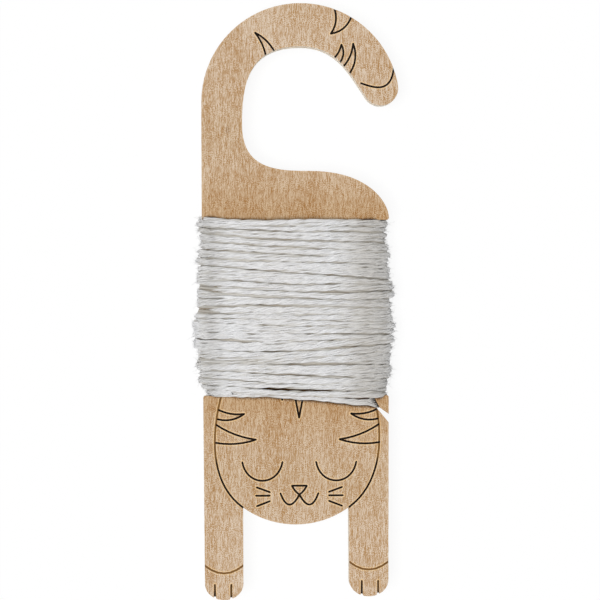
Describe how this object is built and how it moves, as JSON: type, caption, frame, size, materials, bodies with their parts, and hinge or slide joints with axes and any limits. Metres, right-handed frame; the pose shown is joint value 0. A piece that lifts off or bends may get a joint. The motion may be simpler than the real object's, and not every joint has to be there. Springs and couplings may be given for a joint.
{
  "type": "floss bobbin",
  "caption": "Flat plywood bobbin shaped like a stretching cat, with a tail that hooks over a peg, a waist wound with white embroidery floss and a slit that grips the floss's end.",
  "frame": {"origin": "middle of the outline in plan, at the height of the surface that the winding's back rests on", "axes": "+Y from the feet to the tail's crown, +Z out of the engraved face, +X to the tail's tip"},
  "size_m": [0.0278, 0.08, 0.0079],
  "materials": {
    "birch_face": "bare sanded birch veneer, laser-scored in thin dark lines",
    "birch_core": "cross-grained birch veneer, browned at the laser-cut edge",
    "floss": "soft white six-strand cotton floss"
  },
  "bodies": {
    "root": {"front_veneer": "birch_face", "core_veneer": "birch_core", "back_veneer": "birch_face", "floss_core": "floss", "floss_turns": "floss", "floss_end": "floss"}
  },
  "joints": []
}
